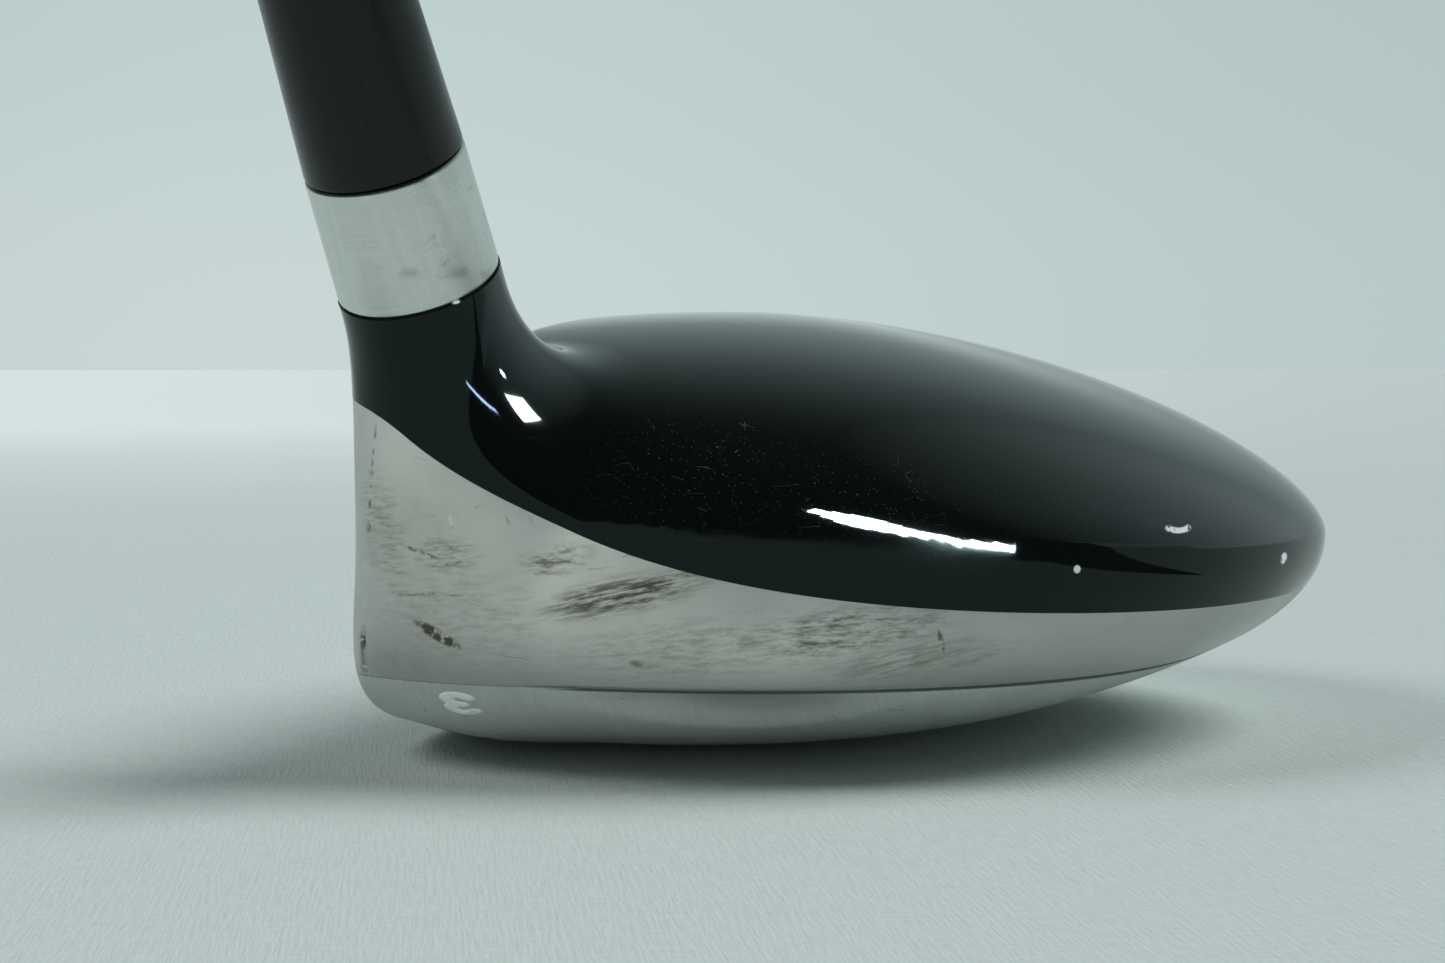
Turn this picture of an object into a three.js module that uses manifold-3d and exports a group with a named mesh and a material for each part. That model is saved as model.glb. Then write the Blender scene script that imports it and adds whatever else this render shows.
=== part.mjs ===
// Fairway wood: a bonded golf club, every piece a closed solid in its own node.
// Millimetres, +Z up. The club stands at address: +X heel to toe, +Y towards the target.
// The origin is the centre of the flat spot that the sole rests on.
import * as THREE from 'three';
import { mergeVertices } from 'three/addons/utils/BufferGeometryUtils.js';
import Module from 'manifold-3d';

const wasm = await Module();
wasm.setup();
const { Manifold, Mesh } = wasm;
const deg = Math.PI / 180;

// ---- driving dimensions ----
const GAP = 0.2;                        // clearance between pieces that touch on the real club
const CLUB = { length: 1092, lie: 60 * deg, axisX: -33.3, axisY: 4.2 };
const HEAD = {
  top: 39.8,                            // crown apex
  plan: { toe: 47, heel: 56, back: 58.4, front: 44, power: 2.15 },
  equator: { toe: 21, heel: 21.8, back: 18.5, front: 22 },     // height of the widest line
  crownPower: { toe: 1.9, heel: 2.4, back: 1.56, front: 1.9 }, // how boxy the crown section is
  solePower: { toe: 2.4, heel: 4.2, back: 2.15, front: 3.2 },  // how boxy the sole section is
  apexBlend: 0.2,                       // rounds the crown and sole off at their middles
  flat: 0.15,                           // depth of the flat spot ground on the sole
  wall: 1.0,
  scale: 24,                            // turns the field's shares into about millimetres
};
const FACE = {
  y: 18.3, z: 18, loft: 15 * deg, bulge: 280, roll: 280, edge: 3.2,
  plateX: -2, plateUp: 1.5, plateWidth: 70, plateHeight: 26, corner: 11.5, thick: 2.6,
  grooves: 8, groovePitch: 2.4, grooveWidth: 0.6, grooveDepth: 0.35, grooveLength: 44,
  reach: 9,                             // how far the plate's prism runs to each side of the face
};
const NECK = { radius: 6.8, low: 14, blend: 9, rim: 47.8 };    // low is a height, rim is along the axis
const PAINT = {
  low: 12.8, rise: 12.9, decay: 19.4,           // the line round the skirt, climbing towards the face
  topLine: 38.1, topLineX: -16, topLineBow: 135, // the line along the top of the face
};
const SOLE = { seam: 7.8, x: -2, y: -11, halfWidth: 64, frontReach: 28, power: 4 };
const NUMERAL = {
  height: 3.2, stroke: 0.75, stretch: 1.9, turn: 90 * deg, pocket: 0.6, thick: 0.35,
  x: -62.7, y: 4.8, fromX: -38, fromY: 1, fromZ: 14,
};
const HOSEL = { band: 11, topRadius: 6.58, sleeve: 5.6, bore: 4.75, bottom: 16, plug: 4 };
const EPOXY = { clear: 0.15, below: 1 };        // below is how far it ends under the hosel's rim
const FERRULE = { length: 25, round: 0.6, base: 6.55, shoulder: 5.95, shoulderAt: 14, tip: 4.85 };
const SHAFT = { tip: 4.25, parallel: 110, butt: 7.6, wallTip: 1.25, wallButt: 0.85 };
const TIP_WEIGHT = { length: 16 };
const GRIP = {
  length: 268, mouth: 9.6, butt: 13.2, cap: 5, capRadius: 13.6, capRound: 1.6, vent: 1.1, tape: 0.3,
  lip: 1.5, capStep: 1.2,
};
const WEIGHT = { length: 26, width: 8, height: 6, round: 3, x: 2, y: -34, z: 6 };
// The sections' spine: it turns below turnAt about a pivot and then runs level through the body.
const SPINE = { turnAt: 38, pivot: 25, y: -17, z: 20, stretch: 1.8, end: 0.985 };
const SPACE = { width: 200, height: 100, reach: 84 };          // larger than the head
const GLUE = { length: 13, width: 10, height: 2.5, x: 10, y: -6, z: 2.6 };

// ---- the outer surface of the head, as a function that is negative inside ----
const axisDir = new THREE.Vector3(-Math.cos(CLUB.lie), 0, Math.sin(CLUB.lie));
const axisPoint = (s) => new THREE.Vector3(CLUB.axisX, CLUB.axisY, 0).addScaledVector(axisDir, s);
const lerp = (a, b, t) => a + (b - a) * t;

function smoothMin(a, b, k) {
  const h = Math.min(Math.max(0.5 + (0.5 * (b - a)) / k, 0), 1);
  return b * (1 - h) + a * h - k * h * (1 - h);
}
const smoothMax = (a, b, k) => -smoothMin(-a, -b, k);

function bySide(values, x, y) {
  const r2 = x * x + y * y + 1e-12;
  const along = x > 0 ? values.toe : values.heel;
  const across = y > 0 ? values.front : values.back;
  return (along * x * x + across * y * y) / r2;
}

function bodyField({ x, y, z }) {
  const { plan, apexBlend: e } = HEAD;
  const ax = x > 0 ? plan.toe : plan.heel;
  const ay = y > 0 ? plan.front : plan.back;
  const rho = (Math.abs(x / ax) ** plan.power + Math.abs(y / ay) ** plan.power) ** (1 / plan.power);
  const equator = bySide(HEAD.equator, x, y);
  const up = z > equator;
  const m = bySide(up ? HEAD.crownPower : HEAD.solePower, x, y);
  const rise = up ? (z - equator) / (HEAD.top - equator) : (equator - z) / (equator + HEAD.flat);
  const spread = ((rho * rho + e * e) ** (m / 2) - e ** m) / ((1 + e * e) ** (m / 2) - e ** m);
  return HEAD.scale * ((spread + rise ** m) ** (1 / m) - 1);
}

function faceField({ x, y, z }) {
  const dy = y - FACE.y;
  const dz = z - FACE.z;
  const out = dy * Math.cos(FACE.loft) + dz * Math.sin(FACE.loft);
  const up = dz * Math.cos(FACE.loft) - dy * Math.sin(FACE.loft);
  return out + (x * x) / (2 * FACE.bulge) + (up * up) / (2 * FACE.roll);
}

const neckFoot = axisPoint(NECK.low / Math.sin(CLUB.lie));
function neckField(p) {
  const w = p.clone().sub(neckFoot);
  const s = Math.max(w.dot(axisDir), 0);
  return w.addScaledVector(axisDir, -s).length() - NECK.radius;
}

function headField(p) {
  return smoothMin(smoothMax(bodyField(p), faceField(p), FACE.edge), neckField(p), NECK.blend);
}

// ---- sections from the neck's rim, round the heel, to the toe ----
function sectionFrames({ neckRows, fanRows, bodyRows, extra }) {
  const frames = [];
  const level = SPINE.turnAt / Math.sin(CLUB.lie);              // where the sections start to turn
  const side = new THREE.Vector3(Math.sin(CLUB.lie), 0, Math.cos(CLUB.lie));
  const start = axisPoint(level);
  const pivot = start.clone().addScaledVector(side, SPINE.pivot);
  for (let i = 0; i < neckRows; i++) {
    const s = lerp(NECK.rim + extra, level, i / neckRows);
    frames.push({ centre: axisPoint(s), up: side.clone(), stretch: 1 });
  }
  for (let i = 0; i < fanRows; i++) {
    const t = i / (fanRows - 1);
    const angle = CLUB.lie * (1 - t);
    const up = new THREE.Vector3(Math.sin(angle), 0, Math.cos(angle));
    const centre = pivot.clone().addScaledVector(up, -lerp(SPINE.pivot, pivot.z - SPINE.z, t));
    centre.y = lerp(CLUB.axisY, SPINE.y, t ** 1.5);
    frames.push({ centre, up, stretch: lerp(1, SPINE.stretch, t) });
  }
  for (let i = 1; i <= bodyRows; i++) {
    const t = Math.sin((SPINE.end * Math.PI * i) / (2 * bodyRows));
    const y = SPINE.y * (1 - t ** 3);
    const centre = new THREE.Vector3(lerp(pivot.x, HEAD.plan.toe, t), y, SPINE.z);
    frames.push({ centre, up: new THREE.Vector3(0, 0, 1), stretch: SPINE.stretch });
  }
  return frames;
}

function rayToSurface(centre, dir) {
  const at = (r) => headField(centre.clone().addScaledVector(dir, r));
  let low = 0;
  let high = 1;
  while (at(high) < 0) {
    low = high;
    high += 1;
  }
  for (let i = 0; i < 24; i++) {
    const mid = (low + high) / 2;
    if (at(mid) < 0) low = mid;
    else high = mid;
  }
  return centre.clone().addScaledVector(dir, low);
}

function outwardNormal(p) {
  const h = 0.02;
  const slope = (axis) => {
    const a = p.clone();
    const b = p.clone();
    a[axis] += h;
    b[axis] -= h;
    return headField(a) - headField(b);
  };
  return new THREE.Vector3(slope('x'), slope('y'), slope('z')).normalize();
}

function headSolid({ around, inset, ...rows }) {
  const frames = sectionFrames(rows);
  const points = [];
  for (const { centre, up, stretch } of frames) {
    for (let j = 0; j < around; j++) {
      const a = (2 * Math.PI * j) / around;
      const dir = up.clone().multiplyScalar(Math.cos(a));
      dir.y += stretch * Math.sin(a);
      const p = rayToSurface(centre, dir.normalize());
      if (inset > 0) p.addScaledVector(outwardNormal(p), -inset);
      points.push(p);
    }
  }
  const triangles = [];
  for (let i = 0; i + 1 < frames.length; i++) {
    for (let j = 0; j < around; j++) {
      const k = (j + 1) % around;
      const [a, b] = [i * around + j, i * around + k];
      const [c, d] = [a + around, b + around];
      triangles.push(a, c, b, b, c, d);
    }
  }
  for (const [row, flip] of [[0, false], [frames.length - 1, true]]) {
    const middle = new THREE.Vector3();
    for (let j = 0; j < around; j++) middle.addScaledVector(points[row * around + j], 1 / around);
    const hub = points.push(middle) - 1;
    for (let j = 0; j < around; j++) {
      const a = row * around + j;
      const b = row * around + ((j + 1) % around);
      triangles.push(...(flip ? [hub, b, a] : [hub, a, b]));
    }
  }
  const geometry = new THREE.BufferGeometry().setFromPoints(points);
  geometry.setIndex(triangles);
  return toSolid(geometry);
}

// ---- between three.js geometry and manifold solids ----
function toSolid(geometry) {
  const bare = geometry.clone();
  bare.deleteAttribute('normal');
  bare.deleteAttribute('uv');
  const merged = mergeVertices(bare, 1e-5);
  return new Manifold(new Mesh({
    numProp: 3,
    vertProperties: new Float32Array(merged.attributes.position.array),
    triVerts: new Uint32Array(merged.index.array),
  }));
}

function toGeometry(solid) {
  const mesh = solid.simplify(0.01).getMesh();
  const geometry = new THREE.BufferGeometry();
  geometry.setAttribute('position', new THREE.BufferAttribute(mesh.vertProperties, 3));
  geometry.setIndex(new THREE.BufferAttribute(mesh.triVerts, 1));
  geometry.computeVertexNormals();
  return geometry;
}

const placed = (solid, matrix) => solid.transform(matrix.elements);

// ---- head pieces ----
const outerFull = headSolid({ around: 60, inset: 0, neckRows: 4, fanRows: 15, bodyRows: 20, extra: 0 });
const inner = headSolid({ around: 36, inset: HEAD.wall, neckRows: 3, fanRows: 9, bodyRows: 12, extra: 4 });
const upperSpace = new THREE.BoxGeometry(SPACE.width, SPACE.width, SPACE.height);
const aboveFloor = toSolid(upperSpace.translate(0, 0, SPACE.height / 2));
const outer = outerFull.intersect(aboveFloor);
const shell = outer.subtract(inner);

// A curve height(u) with everything under it, as a prism; u runs along Y, or along X if alongX.
function prismUnder(height, alongX) {
  const { reach } = SPACE;
  const outline = new THREE.Shape();
  outline.moveTo(-reach, -10);
  for (let u = -reach; u <= reach; u += 2) outline.lineTo(u, height(u));
  outline.lineTo(reach, -10);
  const prism = new THREE.ExtrudeGeometry(outline, { depth: 2 * reach, bevelEnabled: false });
  prism.translate(0, 0, -reach).rotateX(Math.PI / 2);
  if (!alongX) prism.rotateZ(Math.PI / 2);
  return toSolid(prism);
}

// Everything under the paint line; drop lowers it by a clearance.
function belowPaintLine(drop) {
  const skirt = (y) => PAINT.low + PAINT.rise * Math.exp(Math.min(y, 30) / PAINT.decay) - drop;
  const topLine = (x) => PAINT.topLine - (x - PAINT.topLineX) ** 2 / (2 * PAINT.topLineBow) - drop;
  return prismUnder(skirt, false).intersect(prismUnder(topLine, true));
}

// The head's outside moved in by depth, against direction: what it leaves uncovered is a layer.
function movedIn(depth, direction) {
  const step = direction.clone().multiplyScalar(-depth);
  return outer.translate([step.x, step.y, step.z]);
}
const outsideLayer = (depth, direction) => outer.subtract(movedIn(depth, direction));

// A flat outline extruded along the local z of frame, from below to above.
function prismOn(frame, outline, below, above) {
  const geometry = new THREE.ExtrudeGeometry(outline, {
    depth: below + above, bevelEnabled: false, curveSegments: 6,
  });
  return placed(toSolid(geometry.translate(0, 0, -below)), frame);
}

function roundedRectangle(x, y, width, height, radius) {
  const [w, h] = [width / 2, height / 2];
  const outline = new THREE.Shape();
  outline.absarc(x + w - radius, y - h + radius, radius, -Math.PI / 2, 0);
  outline.absarc(x + w - radius, y + h - radius, radius, 0, Math.PI / 2);
  outline.absarc(x - w + radius, y + h - radius, radius, Math.PI / 2, Math.PI);
  outline.absarc(x - w + radius, y - h + radius, radius, Math.PI, 1.5 * Math.PI);
  return outline;
}

const faceNormal = new THREE.Vector3(0, Math.cos(FACE.loft), Math.sin(FACE.loft));
const faceFrame = new THREE.Matrix4().makeBasis(
  new THREE.Vector3(-1, 0, 0),
  new THREE.Vector3(0, -Math.sin(FACE.loft), Math.cos(FACE.loft)),
  faceNormal).setPosition(0, FACE.y, FACE.z);

function facePlateOutline(margin) {
  const { plateX, plateUp, plateWidth, plateHeight, corner } = FACE;
  return roundedRectangle(
    -plateX, plateUp, plateWidth + 2 * margin, plateHeight + 2 * margin, corner + margin);
}

function facePlate() {
  const layer = outsideLayer(FACE.thick, faceNormal);
  let plate = layer.intersect(prismOn(faceFrame, facePlateOutline(0), FACE.reach, FACE.reach));
  const cutter = toSolid(new THREE.BoxGeometry(FACE.grooveLength, FACE.grooveWidth, 4));
  for (let i = 0; i < FACE.grooves; i++) {
    const up = FACE.plateUp + (i - (FACE.grooves - 1) / 2) * FACE.groovePitch;
    const bow = (FACE.grooveLength / 4) ** 2 / (2 * FACE.bulge) + up ** 2 / (2 * FACE.roll);
    const groove = cutter.translate([-FACE.plateX, up, 2 - FACE.grooveDepth - bow]);
    plate = plate.subtract(placed(groove, faceFrame));
  }
  return plate;
}

// The sole plate's space: up to the seam, and forward to a rounded front edge.
function solePlateVolume(margin) {
  const wide = SOLE.halfWidth + margin;
  const reach = SOLE.frontReach + margin;
  const steps = 40;
  const outline = new THREE.Shape();
  outline.moveTo(SOLE.x - wide, -80);
  outline.lineTo(SOLE.x + wide, -80);
  for (let i = 0; i <= steps; i++) {
    const turn = (Math.PI * i) / steps;
    const across = Math.sign(Math.cos(turn)) * Math.abs(Math.cos(turn)) ** (2 / SOLE.power);
    const ahead = Math.sin(turn) ** (2 / SOLE.power);
    outline.lineTo(SOLE.x + wide * across, SOLE.y + reach * ahead);
  }
  const top = SOLE.seam + margin;
  const geometry = new THREE.ExtrudeGeometry(outline, { depth: 5 + top, bevelEnabled: false });
  return toSolid(geometry.translate(0, 0, -5));
}

// A plain numeral three: two open rings, one above the other.
function numeralOutlines() {
  const { height, stroke } = NUMERAL;
  const middle = (height - stroke) / 4;
  return [1, -1].map((side) => {
    const [from, to] = side > 0 ? [-95, 150] : [-150, 95];
    const ring = new THREE.Shape();
    ring.absarc(0, side * middle, middle + stroke / 2, from * deg, to * deg, false);
    ring.absarc(0, side * middle, middle - stroke / 2, to * deg, from * deg, true);
    return ring;
  });
}

// The recess for the numeral: two filled rounds that clear it.
function recessOutlines() {
  const { height, stroke } = NUMERAL;
  const middle = (height - stroke) / 4;
  return [1, -1].map((side) => {
    const round = new THREE.Shape();
    return round.absarc(0, side * middle, middle + stroke / 2 + GAP, 0, 2 * Math.PI, false);
  });
}

const numeralFrom = new THREE.Vector3(NUMERAL.fromX, NUMERAL.fromY, NUMERAL.fromZ);
const numeralTo = new THREE.Vector3(NUMERAL.x, NUMERAL.y, 0);
const numeralPoint = rayToSurface(numeralFrom, numeralTo.sub(numeralFrom).normalize());
const numeralNormal = outwardNormal(numeralPoint);

function onNumeralSpot(outlines) {
  const right = new THREE.Vector3(0, 1, 0).cross(numeralNormal).normalize();
  const up = numeralNormal.clone().cross(right);
  const frame = new THREE.Matrix4().makeBasis(right, up, numeralNormal).setPosition(numeralPoint);
  frame.multiply(new THREE.Matrix4().makeRotationZ(NUMERAL.turn));
  frame.scale(new THREE.Vector3(NUMERAL.stretch, 1, 1));
  const [first, second] = outlines.map((outline) => prismOn(frame, outline, 2, 2));
  return first.add(second);
}

const silver = shell.intersect(belowPaintLine(GAP / 2));
const black = shell.subtract(belowPaintLine(-GAP / 2));
const faceHole = prismOn(faceFrame, facePlateOutline(GAP), FACE.reach, FACE.reach);
const numeralRecess = onNumeralSpot(recessOutlines()).subtract(
  movedIn(NUMERAL.pocket, numeralNormal));

function rearWeight() {
  const { length, width, height, x, y, z, round } = WEIGHT;
  const outline = roundedRectangle(x, y, length, width, round);
  return prismOn(new THREE.Matrix4().makeTranslation(0, 0, z), outline, 0, height);
}

function rattleGlue() {
  const blob = new THREE.SphereGeometry(1, 20, 12);
  blob.scale(GLUE.length / 2, GLUE.width / 2, GLUE.height).translate(GLUE.x, GLUE.y, GLUE.z);
  return toSolid(blob).intersect(aboveFloor.translate([0, 0, GLUE.z]));
}

// ---- pieces turned about the shaft axis; profiles are [radius, distance along the axis] ----
function turned(profile, segments = 40) {
  const points = profile.map(([r, s]) => new THREE.Vector2(r, s));
  return toSolid(new THREE.LatheGeometry(points, segments));
}

const bandTop = NECK.rim + HOSEL.band;
const tipEnd = HOSEL.bottom + HOSEL.plug + 1;
const gripMouth = CLUB.length - GRIP.length;
const buttEnd = CLUB.length - GRIP.cap - GAP;

function shaftRadius(s) {
  const t = (s - tipEnd - SHAFT.parallel) / (buttEnd - tipEnd - SHAFT.parallel);
  return lerp(SHAFT.tip, SHAFT.butt, Math.max(t, 0));
}
const shaftBore = (s) => shaftRadius(s) - lerp(SHAFT.wallTip, SHAFT.wallButt, s / CLUB.length);

function hoselTube() {
  const edge = 0.3;
  const shoulder = NECK.rim + GAP;
  const foot = [HOSEL.bore, HOSEL.bottom];
  return turned([
    foot, [HOSEL.sleeve, HOSEL.bottom], [HOSEL.sleeve, shoulder], [NECK.radius, shoulder],
    [HOSEL.topRadius, bandTop - edge], [HOSEL.topRadius - edge, bandTop], [HOSEL.bore, bandTop], foot,
  ], 56);
}

function borePlug() {
  const radius = HOSEL.bore - GAP;
  const top = HOSEL.bottom + HOSEL.plug;
  return turned([[0, HOSEL.bottom], [radius, HOSEL.bottom], [radius, top], [0, top]]);
}

function epoxySleeve() {
  const inside = SHAFT.tip + EPOXY.clear;
  const outside = HOSEL.bore - EPOXY.clear;
  const [from, to] = [tipEnd, bandTop - EPOXY.below];
  return turned([[inside, from], [outside, from], [outside, to], [inside, to], [inside, from]]);
}

function ferrule() {
  const { base, round, shoulder, shoulderAt, tip, length } = FERRULE;
  const from = bandTop + GAP;
  const bore = SHAFT.tip + GAP;
  const start = [bore, from];
  const profile = [start];
  for (let a = 0; a <= 90; a += 30) {
    const turn = a * deg;
    profile.push([base - round * (1 - Math.sin(turn)), from + round * (1 - Math.cos(turn))]);
  }
  profile.push([shoulder, from + shoulderAt]);
  for (let i = 1; i <= 4; i++) {
    const t = i / 4;
    profile.push([lerp(shoulder, tip, t ** 1.5), from + lerp(shoulderAt, length, t)]);
  }
  profile.push([bore, from + length], start);
  return turned(profile, 56);
}

function shaft() {
  const stations = [tipEnd];
  for (let i = 0; i <= 6; i++) stations.push(lerp(tipEnd + SHAFT.parallel, buttEnd, i / 6));
  const outside = stations.map((s) => [shaftRadius(s), s]);
  const inside = stations.map((s) => [shaftBore(s), s]).reverse();
  return turned([...outside, ...inside, outside[0]]);
}

function tipWeight() {
  const radius = shaftBore(tipEnd) - GAP;
  const [from, to] = [tipEnd + 1, tipEnd + 1 + TIP_WEIGHT.length];
  return turned([[0, from], [radius, from], [radius, to], [0, to]], 24);
}

function gripTape() {
  const edge = (s, lift) => [shaftRadius(s) + GAP + lift, s];
  const [from, to] = [gripMouth + 2, buttEnd];
  return turned([
    edge(from, 0), edge(from, GRIP.tape), edge(to, GRIP.tape), edge(to, 0), edge(from, 0)]);
}

function grip() {
  const lip = [GRIP.mouth - 1, gripMouth];
  const profile = [lip];
  for (let i = 0; i <= 12; i++) {
    const t = i / 12;
    profile.push([lerp(GRIP.mouth, GRIP.butt, t ** 1.25), lerp(gripMouth + GRIP.lip, buttEnd, t)]);
  }
  const bore = (s) => [shaftRadius(s) + GRIP.tape + 2 * GAP, s];
  profile.push(bore(buttEnd), bore(gripMouth), lip);
  return turned(profile, 44);
}

function gripCap() {
  const { vent, butt, capRadius, capRound, capStep } = GRIP;
  const from = buttEnd + GAP;
  const to = CLUB.length;
  return turned([
    [vent, from], [butt, from], [capRadius, from + capStep], [capRadius, to - capRound],
    [capRadius - 0.5, to - 0.5], [capRadius - capRound, to], [vent, to], [vent, from],
  ], 44);
}

// ---- assembly ----
const club = new THREE.Group();

function addPiece(parent, name, solid, color, roughness, metalness) {
  const material = new THREE.MeshStandardMaterial({ color, roughness, metalness });
  const piece = new THREE.Mesh(toGeometry(solid), material);
  piece.name = name;
  parent.add(piece);
}

const bodyShell = silver.subtract(faceHole).subtract(solePlateVolume(GAP));
const solePlate = silver.intersect(solePlateVolume(0)).subtract(numeralRecess);
const numeral = onNumeralSpot(numeralOutlines()).intersect(
  outsideLayer(NUMERAL.thick, numeralNormal));
addPiece(club, 'crown_shell', black.subtract(faceHole), 0x0b0c0e, 0.15, 0.2);
addPiece(club, 'body_shell', bodyShell, 0xa9b4b0, 0.35, 0.9);
addPiece(club, 'sole_plate', solePlate, 0x8d9794, 0.4, 0.9);
addPiece(club, 'face_plate', facePlate(), 0x9da6a4, 0.35, 0.9);
addPiece(club, 'numeral_inlay', numeral, 0xeef0ee, 0.5, 0);
addPiece(club, 'rear_weight', rearWeight(), 0x6f7478, 0.4, 0.9);
addPiece(club, 'rattle_glue', rattleGlue(), 0xd9c48a, 0.6, 0);

// The shaft line leans towards the golfer: the lathes' Y becomes the axis, its foot on the floor.
const shaftLine = new THREE.Group();
shaftLine.position.set(CLUB.axisX, CLUB.axisY, 0);
shaftLine.quaternion.setFromUnitVectors(new THREE.Vector3(0, 1, 0), axisDir);
club.add(shaftLine);

addPiece(shaftLine, 'hosel_tube', hoselTube(), 0xb4bdbb, 0.3, 0.95);
addPiece(shaftLine, 'bore_plug', borePlug(), 0xc8a878, 0.8, 0);
addPiece(shaftLine, 'epoxy_sleeve', epoxySleeve(), 0xcfc9a6, 0.4, 0);
addPiece(shaftLine, 'ferrule', ferrule(), 0x15181a, 0.5, 0);
addPiece(shaftLine, 'shaft', shaft(), 0x24282c, 0.3, 0.3);
addPiece(shaftLine, 'tip_weight', tipWeight(), 0xb08d4a, 0.35, 0.9);
addPiece(shaftLine, 'grip_tape', gripTape(), 0xe4dfce, 0.9, 0);
addPiece(shaftLine, 'grip', grip(), 0x1b1c1d, 0.85, 0);
addPiece(shaftLine, 'grip_cap', gripCap(), 0x1b1c1d, 0.8, 0);

export default club;
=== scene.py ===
"""Fairway wood: fine surfaces, materials, stage and camera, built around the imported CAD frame.

Shapes are worked out in millimetres in the frame's axes (+X heel to toe, +Y towards the target,
+Z up) and turned into metres when a mesh is made.
"""
from functools import reduce

import bpy
import numpy as np
from mathutils import Matrix, Vector


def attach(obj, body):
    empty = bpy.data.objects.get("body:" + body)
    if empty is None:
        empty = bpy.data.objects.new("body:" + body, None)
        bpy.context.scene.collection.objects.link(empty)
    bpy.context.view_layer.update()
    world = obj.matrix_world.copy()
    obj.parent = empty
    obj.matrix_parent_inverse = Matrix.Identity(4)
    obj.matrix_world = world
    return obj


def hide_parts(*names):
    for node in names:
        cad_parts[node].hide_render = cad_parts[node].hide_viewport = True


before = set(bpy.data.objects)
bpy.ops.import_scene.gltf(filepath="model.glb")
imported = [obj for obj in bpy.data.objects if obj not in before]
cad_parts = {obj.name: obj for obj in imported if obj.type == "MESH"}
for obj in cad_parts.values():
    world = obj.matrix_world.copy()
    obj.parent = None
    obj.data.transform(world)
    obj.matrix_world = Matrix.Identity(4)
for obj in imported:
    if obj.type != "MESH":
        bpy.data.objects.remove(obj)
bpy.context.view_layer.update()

MM = 0.001
ROOT = "root"

# ---- driving dimensions, the same as the CAD part's ----
LIE = np.radians(60)
AXIS_FOOT = np.array([-33.3, 4.2, 0.0])
HEAD_TOP = 39.8
HEAD_FLAT = 0.15
HEAD_SCALE = 24
PLAN = {"toe": 47, "heel": 56, "back": 58.4, "front": 44, "power": 2.15}
EQUATOR = {"toe": 21, "heel": 21.8, "back": 18.5, "front": 22}
CROWN_POWER = {"toe": 1.9, "heel": 2.4, "back": 1.56, "front": 1.9}
SOLE_POWER = {"toe": 2.4, "heel": 4.2, "back": 2.15, "front": 3.2}
APEX_BLEND = 0.2
FACE = {"y": 18.3, "z": 18, "loft": np.radians(15), "bulge": 280, "roll": 280, "edge": 3.2}
PLATE = {"x": -2, "up": 1.5, "width": 70, "height": 26, "corner": 11.5, "thick": 2.6,
         "reach": 8, "far": 30}
GROOVE = {"count": 8, "pitch": 2.4, "width": 0.6, "depth": 0.35, "length": 44}
NECK = {"radius": 6.8, "low": 14, "blend": 9, "rim": 47.8}
PAINT = {"low": 12.8, "rise": 12.9, "decay": 19.4, "top": 38.1, "top_x": -16, "bow": 135,
         "round": 2.4}
SOLE = {"seam": 7.8, "x": -2, "y": -11, "half_width": 64, "reach": 28, "power": 4}
NUMERAL = {"height": 3.2, "stroke": 0.75, "stretch": 1.9, "depth": 0.3,
           "from": (-38, 1, 14), "to": (-62.7, 4.8, 0)}
WALL = 1.0
GAP = 0.2
CLUB_LENGTH = 1092
HOSEL = {"band": 11, "top": 6.58, "sleeve": 5.6, "bore": 4.75, "bottom": 16, "plug": 4}
FERRULE = {"length": 25, "base": 6.55, "shoulder": 5.95, "shoulder_at": 14, "tip": 4.85}
SHAFT = {"tip": 4.25, "parallel": 110, "butt": 7.6, "wall_tip": 1.25, "wall_butt": 0.85}
GRIP = {"length": 268, "mouth": 9.6, "butt": 13.2, "cap": 5, "cap_radius": 13.6, "cap_step": 1.2,
        "vent": 1.1, "tape": 0.3, "lip": 1.5}
# The line that the head's sections turn round: down the neck, about a pivot, level to the toe.
SPINE = {"turn_at": 38, "pivot": 25, "y": -17, "z": 20, "stretch": 1.8, "end": 0.985}

# ---- fine relief that only the looks carry ----
PAINT_FILM = 0.05
# The seam fades out between two values of y, and its dirt reaches about grime to each side.
SEAM = {"half_gap": 0.04, "round": 0.42, "depth": 0.4, "fades": (-3, -9), "grime": 0.15}
SCOOP = {"y": -19.8, "half_length": 16, "height": 3.6, "depth": 1.0}
NUMERAL_TOP = {"raised": 0.1, "bevel": 0.15, "sunk": 0.01, "points": 121, "dive": 4.0}
CORNERS = {"hosel": 0.35, "ferrule": 0.3, "cap": 1.6}
HOSEL_INSET = 0.02
# The lip at the grip's mouth: in from its radius and up from its end.
MOUTH = ((1.4, 0), (0.5, 0.3))
DIAMONDS = {"around": 16, "apart": 7.2, "depth": 0.45, "size": 0.34, "slopes": (0.9, 0.75),
            "bevel": 0.12, "rows": (2.2, 35.2)}
UV_RADIUS = 50
SEAM_DIRT = (0.055, 0.065, 0.06)

AXIS = np.array([-np.cos(LIE), 0, np.sin(LIE)])
ACROSS = np.array([np.sin(LIE), 0, np.cos(LIE)])
BAND_TOP = NECK["rim"] + HOSEL["band"]
TIP_END = HOSEL["bottom"] + HOSEL["plug"] + 1
GRIP_MOUTH = CLUB_LENGTH - GRIP["length"]
BUTT_END = CLUB_LENGTH - GRIP["cap"] - GAP


def lerp(a, b, t):
    return np.interp(t, (0, 1), (a, b))


# ---- the head's outer surface, as a function that is negative inside ----
def smooth_min(a, b, k):
    h = np.clip(0.5 + 0.5 * (b - a) / k, 0, 1)
    return b * (1 - h) + a * h - k * h * (1 - h)


def smooth_max(a, b, k):
    return -smooth_min(-a, -b, k)


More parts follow.
